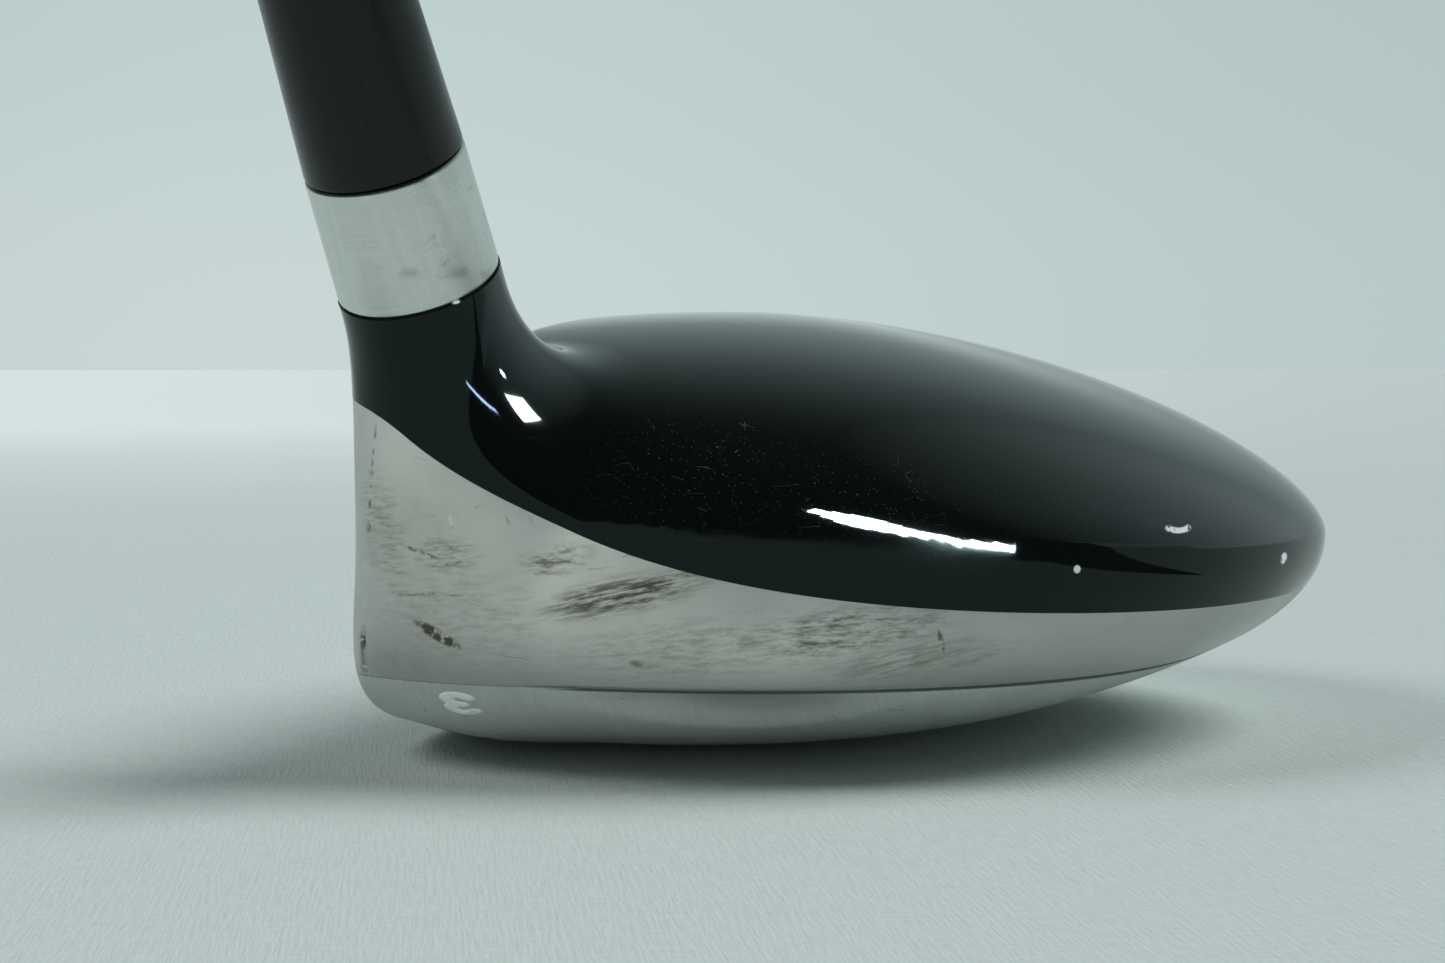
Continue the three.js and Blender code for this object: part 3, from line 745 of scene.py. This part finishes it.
def inner_stuff(name, dark, light, roughness, scale, metallic):
    """A plain mottled material for the pieces inside the club."""
    look = Look(name, Metallic=metallic)
    place = look.place()
    cloud = look.noise(place, scale, 5, 0.6)
    return look.finished(look.toned(cloud, 0.3, 0.7, dark, light),
                         look.between(cloud, 0.3, 0.7, roughness, roughness + 0.15),
                         look.noise(place, scale * 8, 3), 0.05, 0.5)


# ---- the head ----
def build_head():
    points, triangles = head_skin()
    for field in (paint_line, seam_line, plate_line):
        points, triangles = cut_along(points, triangles, field)
    painted = side_of(points, triangles, paint_line) > 0
    in_plate = side_of(points, triangles, plate_line) < 0
    under_seam = side_of(points, triangles, seam_line) < 0
    crown = only(points, triangles, painted & ~in_plate)
    face = only(points, triangles, in_plate)
    sole = only(points, triangles, under_seam & ~painted & ~in_plate)
    body = only(points, triangles, ~painted & ~in_plate & ~under_seam)

    crown = shell_from_skin("crown", *crown, lambda p: np.full(len(p), PAINT_FILM), WALL,
                            black_paint(), "black_paint")
    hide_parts("crown_shell")

    body = trimmed(*trimmed(*body, seam_distance, 1), plate_distance, 1)
    body = shell_from_skin("skirt", *body, body_relief, WALL, cast_steel(), "cast_steel")
    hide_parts("body_shell")

    sole = trimmed(*sole, seam_distance, -1)
    sole = shell_from_skin("sole", *sole, sole_relief, WALL, sole_steel(), "sole_steel")
    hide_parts("sole_plate")

    face = trimmed(*face, plate_distance, -1)
    half = GROOVE["width"] / 2
    for i in range(GROOVE["count"]):
        for level in (half * 1.2, half, half * 2 / 3):
            face = cut_along(*face, lambda p: groove_line(i)(p) - level)
    face = shell_from_skin("face", *face, face_relief, PLATE["thick"], face_steel(), "face_steel")
    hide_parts("face_plate")


def trimmed(points, triangles, distance, side):
    """Takes half of the seam's gap away on one side of its line, and cuts where it is rounded."""
    gap, edge = side * SEAM["half_gap"], side * SEAM["round"]
    points, triangles = cut_along(points, triangles, lambda p: distance(p) - gap)
    beyond = side_of(points, triangles, distance) * side > SEAM["half_gap"]
    points, triangles = only(points, triangles, beyond)
    return cut_along(points, triangles, lambda p: distance(p) - edge)


def numeral_stroke(x, y):
    """Distance to the outline of a plain three, two open rings one above the other."""
    radius = (NUMERAL["height"] - NUMERAL["stroke"]) / 4
    nearest = np.full(x.shape, np.inf)
    for side, start, end in ((1, -95, 150), (-1, -150, 95)):
        dx, dy = x, y - side * radius
        angle = np.degrees(np.arctan2(dy, dx))
        inside = (angle > start) & (angle < end)
        ring = np.abs(np.hypot(dx, dy) - radius)
        ends = [np.hypot(dx - radius * np.cos(np.radians(a)), dy - radius * np.sin(np.radians(a)))
                for a in (start, end)]
        nearest = np.minimum(nearest, np.where(inside, ring, np.minimum(*ends)))
    return nearest - NUMERAL["stroke"] / 2


def build_numeral():
    start = np.array(NUMERAL["from"], float)
    aim = unit(np.array(NUMERAL["to"], float) - start)
    middle = cast_to_head(start[None], aim[None])[0]
    normal = unit(slope(head_field, middle[None]))[0]
    level = unit(np.cross([0, 1.0, 0], normal))
    right, up = np.cross(normal, level), -level
    reach, count = NUMERAL["height"] * 0.75, NUMERAL_TOP["points"]
    line = np.linspace(-reach, reach, count)
    u, v = np.meshgrid(line, line)
    flat = middle + u.reshape(-1, 1) * right + v.reshape(-1, 1) * up
    inside, outward = flat - normal * NUMERAL_TOP["dive"], np.repeat(normal[None], len(flat), 0)
    points = cast_to_head(inside, outward, 2 * NUMERAL_TOP["dive"])

    def stroke(p):
        return numeral_stroke((p - middle) @ right / NUMERAL["stretch"], (p - middle) @ up)

    points, triangles = cut_along(points, grid(count, count, False, False), stroke)
    points, triangles = only(points, triangles, side_of(points, triangles, stroke) < 0)

    def crowned(p):
        share = np.clip(-stroke(p) / NUMERAL_TOP["bevel"], 0, 1)
        return NUMERAL_TOP["raised"] * share - NUMERAL_TOP["sunk"]

    piece = shell_from_skin("numeral", points, triangles, crowned, NUMERAL["depth"],
                            white_enamel(), "white_enamel")
    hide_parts("numeral_inlay")


# ---- the pieces on the shaft axis ----
def shaft_radius(s):
    t = (s - TIP_END - SHAFT["parallel"]) / (BUTT_END - TIP_END - SHAFT["parallel"])
    return lerp(SHAFT["tip"], SHAFT["butt"], np.maximum(t, 0))


def shaft_wall(s):
    return lerp(SHAFT["wall_tip"], SHAFT["wall_butt"], s / CLUB_LENGTH)


def build_hosel():
    shoulder = NECK["rim"] + GAP / 2
    profile = [
        (HOSEL["bore"], HOSEL["bottom"]), (HOSEL["sleeve"], HOSEL["bottom"]),
        (HOSEL["sleeve"], shoulder), (NECK["radius"] - HOSEL_INSET, shoulder),
        (HOSEL["top"], BAND_TOP), (HOSEL["bore"], BAND_TOP)]
    profile = rounded(profile, CORNERS["hosel"])
    piece = turned("hosel_band", profile, bare_steel(), "bare_steel", 160)
    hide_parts("hosel_tube")


def build_ferrule():
    start = BAND_TOP + GAP / 2
    bore = SHAFT["tip"] + GAP
    profile = [(bore, start), (FERRULE["base"], start)]
    for t in np.linspace(0, 1, 9):
        radius = lerp(FERRULE["shoulder"], FERRULE["tip"], t**1.5)
        profile.append((radius, start + lerp(FERRULE["shoulder_at"], FERRULE["length"], t)))
    profile.append((bore, start + FERRULE["length"]))
    profile = rounded(profile, CORNERS["ferrule"])
    piece = turned("ferrule_cone", profile, satin_plastic(), "ferrule_plastic", 160)
    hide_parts("ferrule")


def build_shaft():
    stations = np.concatenate([[TIP_END], np.linspace(TIP_END + SHAFT["parallel"], BUTT_END, 60)])
    outside = [(shaft_radius(s), s) for s in stations]
    inside = [(shaft_radius(s) - shaft_wall(s), s) for s in stations[::-1]]
    piece = turned("shaft_tube", outside + inside, graphite(), "shaft_graphite", 64)
    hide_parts("shaft")


def grip_pattern(radius, station, angle):
    """Rows of small recessed diamonds, with plain bands at the mouth and the butt."""
    row = (station - GRIP_MOUTH) / DIAMONDS["apart"]
    u = (angle * DIAMONDS["around"] / (2 * np.pi) + 0.5 * (np.floor(row) % 2)) % 1 - 0.5
    v = row % 1 - 0.5
    slope_u, slope_v = DIAMONDS["slopes"]
    inward = DIAMONDS["size"] - np.abs(u) * slope_u - np.abs(v) * slope_v
    diamond = np.clip(inward / DIAMONDS["bevel"], 0, 1)
    first, last = DIAMONDS["rows"]
    plain = (row < first) | (row > last)
    outside = radius > GRIP["mouth"] - MOUTH[1][0]
    return -DIAMONDS["depth"] * np.where(plain | ~outside, 0, diamond)


def build_grip():
    look = rubber()
    profile = []
    for t in np.linspace(0, 1, 300):
        radius = lerp(GRIP["mouth"], GRIP["butt"], t**1.25)
        profile.append((radius, lerp(GRIP_MOUTH + GRIP["lip"], BUTT_END, t)))
    bore = GRIP["tape"] + 2 * GAP
    profile += [(shaft_radius(s) + bore, s) for s in (BUTT_END, GRIP_MOUTH)]
    profile += [(GRIP["mouth"] - inward, GRIP_MOUTH + up) for inward, up in MOUTH]
    piece = turned("grip_sleeve", profile, look, "grip_rubber", 160, grip_pattern, 60)
    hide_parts("grip")

    start, end = BUTT_END + GAP / 2, CLUB_LENGTH
    profile = [(GRIP["vent"], start), (GRIP["butt"], start),
               (GRIP["cap_radius"], start + GRIP["cap_step"]), (GRIP["cap_radius"], end),
               (GRIP["vent"], end)]
    piece = turned("grip_end", rounded(profile, CORNERS["cap"], 8), look, "grip_rubber")
    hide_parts("grip_cap")


# CAD nodes that the looks keep: material, darker and lighter colour, lowest roughness, scale of
# the mottling, and how metallic it is.
INNER = {
    "rear_weight": ("weight_steel", (0.3, 0.32, 0.33), (0.42, 0.44, 0.45), 0.35, 120, 1.0),
    "rattle_glue": ("glue", (0.6, 0.5, 0.25), (0.72, 0.62, 0.36), 0.35, 200, 0.0),
    "bore_plug": ("plug_plastic", (0.45, 0.33, 0.2), (0.6, 0.46, 0.3), 0.6, 300, 0.0),
    "epoxy_sleeve": ("epoxy", (0.55, 0.52, 0.36), (0.68, 0.64, 0.48), 0.25, 250, 0.0),
    "tip_weight": ("brass", (0.6, 0.42, 0.16), (0.72, 0.52, 0.22), 0.28, 200, 1.0),
    "grip_tape": ("tape", (0.66, 0.62, 0.52), (0.78, 0.74, 0.64), 0.75, 400, 0.0),
}


def dress_inner_nodes():
    for node, settings in INNER.items():
        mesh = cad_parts[node].data
        mesh.materials.clear()
        mesh.materials.append(inner_stuff(*settings))


# ---- stage, lights and camera ----
CAMERA_TURN, CAMERA_DOWN = np.radians(23.4), np.radians(2.5)
CAMERA_AT = Vector((-0.2438, -0.1037, 0.0342))
CAMERA_LENS, CAMERA_SENSOR = 64.8, 36
FLOOR = {"radius": 40000, "under": 0.02, "segments": 96}
AHEAD = Vector((np.cos(CAMERA_TURN), np.sin(CAMERA_TURN), 0))
RIGHT = Vector((np.sin(CAMERA_TURN), -np.cos(CAMERA_TURN), 0))
UP = Vector((0, 0, 1))
# The points that the lamps face.
RIM = (-25, -20, 22)
NECK_SIDE = (-55.7, -4.7, 30.8)
# What a lamp lights: the name of a collection and the pieces in it.
PAINTED = ("painted", ["crown"])
# Small lamps close to the head: centre, the point they face, long axis, sizes, radiance, colour,
# and what they light if it isn't the paint.
LAMPS = {
    "window": ((-65, -33.5, 48.5), NECK_SIDE, (0.66, 0.16, 0.7), (9.5, 8.5), 45, (1, 1, 1)),
    "spot": ((-56, -32, 41), NECK_SIDE, (1, 0, 0), (1.5, 1.5), 25, (1, 1, 1)),
    "streak": ((-76, -26.5, 32.2), NECK_SIDE, (0.35, -0.3, 0.88), (10, 0.7), 9, (0.6, 0.6, 1)),
    "band_window": ((-65, -33.5, 48.5), (-59.8, 4.2, 46), (-0.5, 0, 0.87), (22, 3), 0.16,
                    (1, 1, 0.98), ("bare_band", ["hosel_band"])),
}
# A bent strip lamp along the crown's rim, made of small pieces: its middle line and its widths.
STRIP = {"x": (-78.9, -75.8, -70.3, -63, -53.9), "y": (-44.2, -52.6, -60.5, -67.5, -74.2),
         "z": (33.2, 27.4, 21.5, 18.1, 17.0), "width": (2, 8.4, 4.2, 1.0, 0.7), "pieces": 12,
         "overlap": 1.15, "radiance": 45, "colour": (0.93, 0.98, 1)}
# A broad soft panel on the right that the paint alone mirrors; its last value is its spread.
PANEL = ((90, -244, 142), (-15, -50, 25), (0.918, 0.397, 0), (1100, 1100), 0.23, (0.88, 1, 1),
         PAINTED, 100)
# Broad lights: degrees to the right of straight ahead, degrees high, energy, degrees wide. Only
# the head shades the keys. Reflections show only the sheen, which lights the metal and numeral.
KEYS = {"key_right": (75, 50, 2.0, 36), "key_left": (-90, 45, 0.9, 30)}
FILL = (180, 8, 0.25, 20)
SHEEN = (-130, 4, 0.8, 40)
# A black card that stands round the camera, seen only in reflections: x, y and height of its top.
CARD = [(-1500, 900, 60), (-372, -66, 60), (-361, -107, 60), (-300, -190, 60),
        (-200, -250, 50), (-78, -218, 25), (9, -109, 0.5)]


def build_camera():
    ahead = AHEAD * np.cos(CAMERA_DOWN) - UP * np.sin(CAMERA_DOWN)
    up = RIGHT.cross(ahead)
    data = bpy.data.cameras.new("camera")
    data.sensor_width, data.lens = CAMERA_SENSOR, CAMERA_LENS
    data.clip_start = 0.01
    camera = new_object("camera", data)
    turn = Matrix((RIGHT, up, -ahead)).transposed()
    camera.matrix_world = Matrix.Translation(CAMERA_AT) @ turn.to_4x4()
    bpy.context.scene.camera = camera


def in_reflections_only(thing):
    thing.visible_camera = False
    thing.visible_diffuse = False
    thing.visible_shadow = False


def light_group(name, pieces):
    """A collection of pieces, for a light's own list of what it lights or what shades it."""
    group = bpy.data.collections.get(name)
    if group is None:
        group = bpy.data.collections.new(name)
        for piece in pieces:
            group.objects.link(bpy.data.objects[piece])
    return group


def lamp(name, centre, facing, along, size, radiance, colour, lit=PAINTED, spread=60):
    """An area light that faces a point; size runs along and across its long axis."""
    centre, facing = Vector(centre) * MM, Vector(facing) * MM
    back = (centre - facing).normalized()
    across = back.cross(Vector(along)).normalized()
    turn = Matrix((across.cross(back), across, back)).transposed()
    length, width = np.array(size) * MM
    data = bpy.data.lights.new(name, "AREA")
    data.shape = "RECTANGLE"
    data.size, data.size_y = length, width
    data.energy = np.pi * length * width * radiance
    data.color = colour
    data.spread = np.radians(spread)
    light = new_object(name, data)
    light.matrix_world = Matrix.Translation(centre) @ turn.to_4x4()
    light.light_linking.receiver_collection = light_group(*lit)
    in_reflections_only(light)


def build_strip():
    count = len(STRIP["x"])
    along = np.linspace(0, count - 1, STRIP["pieces"] + 1)
    rows = [np.interp(along, np.arange(count), STRIP[key]) for key in ("x", "y", "z", "width")]
    places = np.array(rows).T
    for i, (start, end) in enumerate(zip(places, places[1:])):
        middle, run = (start + end) / 2, Vector(end[:3] - start[:3])
        size = (run.length * STRIP["overlap"], middle[3])
        lamp(f"strip_{i + 1}", middle[:3], RIM, run, size, STRIP["radiance"], STRIP["colour"])


def black_cloth():
    look = Look("card_cloth", Specular_IOR_Level=0.1, Roughness=0.9)
    cloud = look.noise(look.place(), 40, 4)
    colour = look.mixed(cloud, (0.004, 0.005, 0.005), (0.012, 0.014, 0.014))
    look.tree.links.new(colour, look.shader.inputs["Base Color"])
    return look.material


def build_card():
    top = np.array(CARD, float)
    points = np.concatenate([top * [1, 1, 0], top])
    card = new_piece("card", points, grid(2, len(top), False, False), black_cloth())
    in_reflections_only(card)


def cloth():
    look = Look("floor_cloth", Specular_IOR_Level=0.15)
    place = look.place()
    weft = look.noise(look.place(scale=(1, 12, 1), turn=30), 260, 3, 0.6)
    warp = look.noise(look.place(scale=(12, 1, 1), turn=30), 260, 3, 0.6)
    weave = look.plus(weft, warp)
    cloud = look.noise(place, 3, 3)
    outward = look.add("VectorMath", {0: place}, operation="NORMALIZE")
    tone = look.toned(cloud, 0.3, 0.7, (0.665, 0.735, 0.72), (0.645, 0.71, 0.695))
    tone = look.mixed(look.times(look.between(weave, 0.85, 1.2), 0.18), tone, (0.4, 0.45, 0.44))
    # Painted light: the floor is painted paler far off, palest towards the left.
    far = look.toned(look.dot(outward, RIGHT), -0.35, 0.4, (0.93, 0.96, 0.965),
                     (0.655, 0.70, 0.705))
    return look.finished(look.toned(look.length(place), 0.15, 1.4, tone, far),
                         look.between(weave, 0.7, 1.3, 0.8, 0.95), weave, 0.25, 0.5)


def build_stage():
    count = FLOOR["segments"]
    angle = np.linspace(0, 2 * np.pi, count, endpoint=False)
    rim = np.stack([np.cos(angle), np.sin(angle), np.zeros(count)], -1) * FLOOR["radius"]
    corners = np.concatenate([rim, np.zeros((1, 3))]) - np.array([0, 0, FLOOR["under"]])
    around = np.arange(count)
    faces = np.stack([around, np.roll(around, -1), np.full(count, count)], -1)
    floor = new_piece("floor", corners, faces, cloth())


def build_world():
    """Pale ahead and to the right, dark behind the camera; darker overhead, paler on the left."""
    world = bpy.data.worlds.new("studio")
    bpy.context.scene.world = world
    world.use_nodes = True
    sky = Nodes(world.node_tree)
    outward = sky.add("TexCoord", output="Generated")

    def toned(toward, low, high, first, second):
        return sky.toned(sky.dot(outward, toward.normalized()), low, high, first, second)

    low = toned(RIGHT, -0.3, 0.35, (0.62, 0.72, 0.72), (0.475, 0.58, 0.575))
    high = toned(RIGHT, -0.3, 0.35, (0.57, 0.69, 0.69), (0.45, 0.55, 0.545))
    pale = toned(UP, 0.14, 0.3, toned(UP, 0.02, 0.15, low, high), (0.37, 0.475, 0.475))
    colour = toned(AHEAD * 0.85 + RIGHT * 0.5 - UP * 0.3, -0.4, 0.9, (0.012, 0.016, 0.016), pale)
    sky.tree.links.new(colour, sky.tree.nodes["Background"].inputs["Color"])


def sun(name, turn, up, energy, width):
    """A distant light from turn degrees right of straight ahead and up degrees high."""
    data = bpy.data.lights.new(name, "SUN")
    data.energy = energy
    data.angle = np.radians(width)
    data.color = (0.95, 1, 1)
    light = new_object(name, data)
    turn, up = np.radians(turn), np.radians(up)
    level = AHEAD * np.cos(turn) + RIGHT * np.sin(turn)
    direction = level * np.cos(up) + UP * np.sin(up)
    light.rotation_euler = direction.to_track_quat("Z", "Y").to_euler()
    return light


def build_lights():
    for name, settings in KEYS.items():
        key = sun(name, *settings)
        key.visible_glossy = False
        key.light_linking.blocker_collection = light_group(
            "head_shells", ["crown", "skirt", "sole", "face"])
    sun("fill", *FILL).visible_glossy = False
    sheen = sun("sheen", *SHEEN)
    sheen.light_linking.receiver_collection = light_group(
        "bare_metal", ["skirt", "sole", "numeral"])
    lamp("panel", *PANEL)
    for name, settings in LAMPS.items():
        lamp(name, *settings)
    build_strip()


bpy.context.scene.view_settings.view_transform = "Standard"
build_camera()
build_head()
build_numeral()
build_hosel()
build_ferrule()
build_shaft()
build_grip()
dress_inner_nodes()
build_stage()
build_card()
build_world()
build_lights()
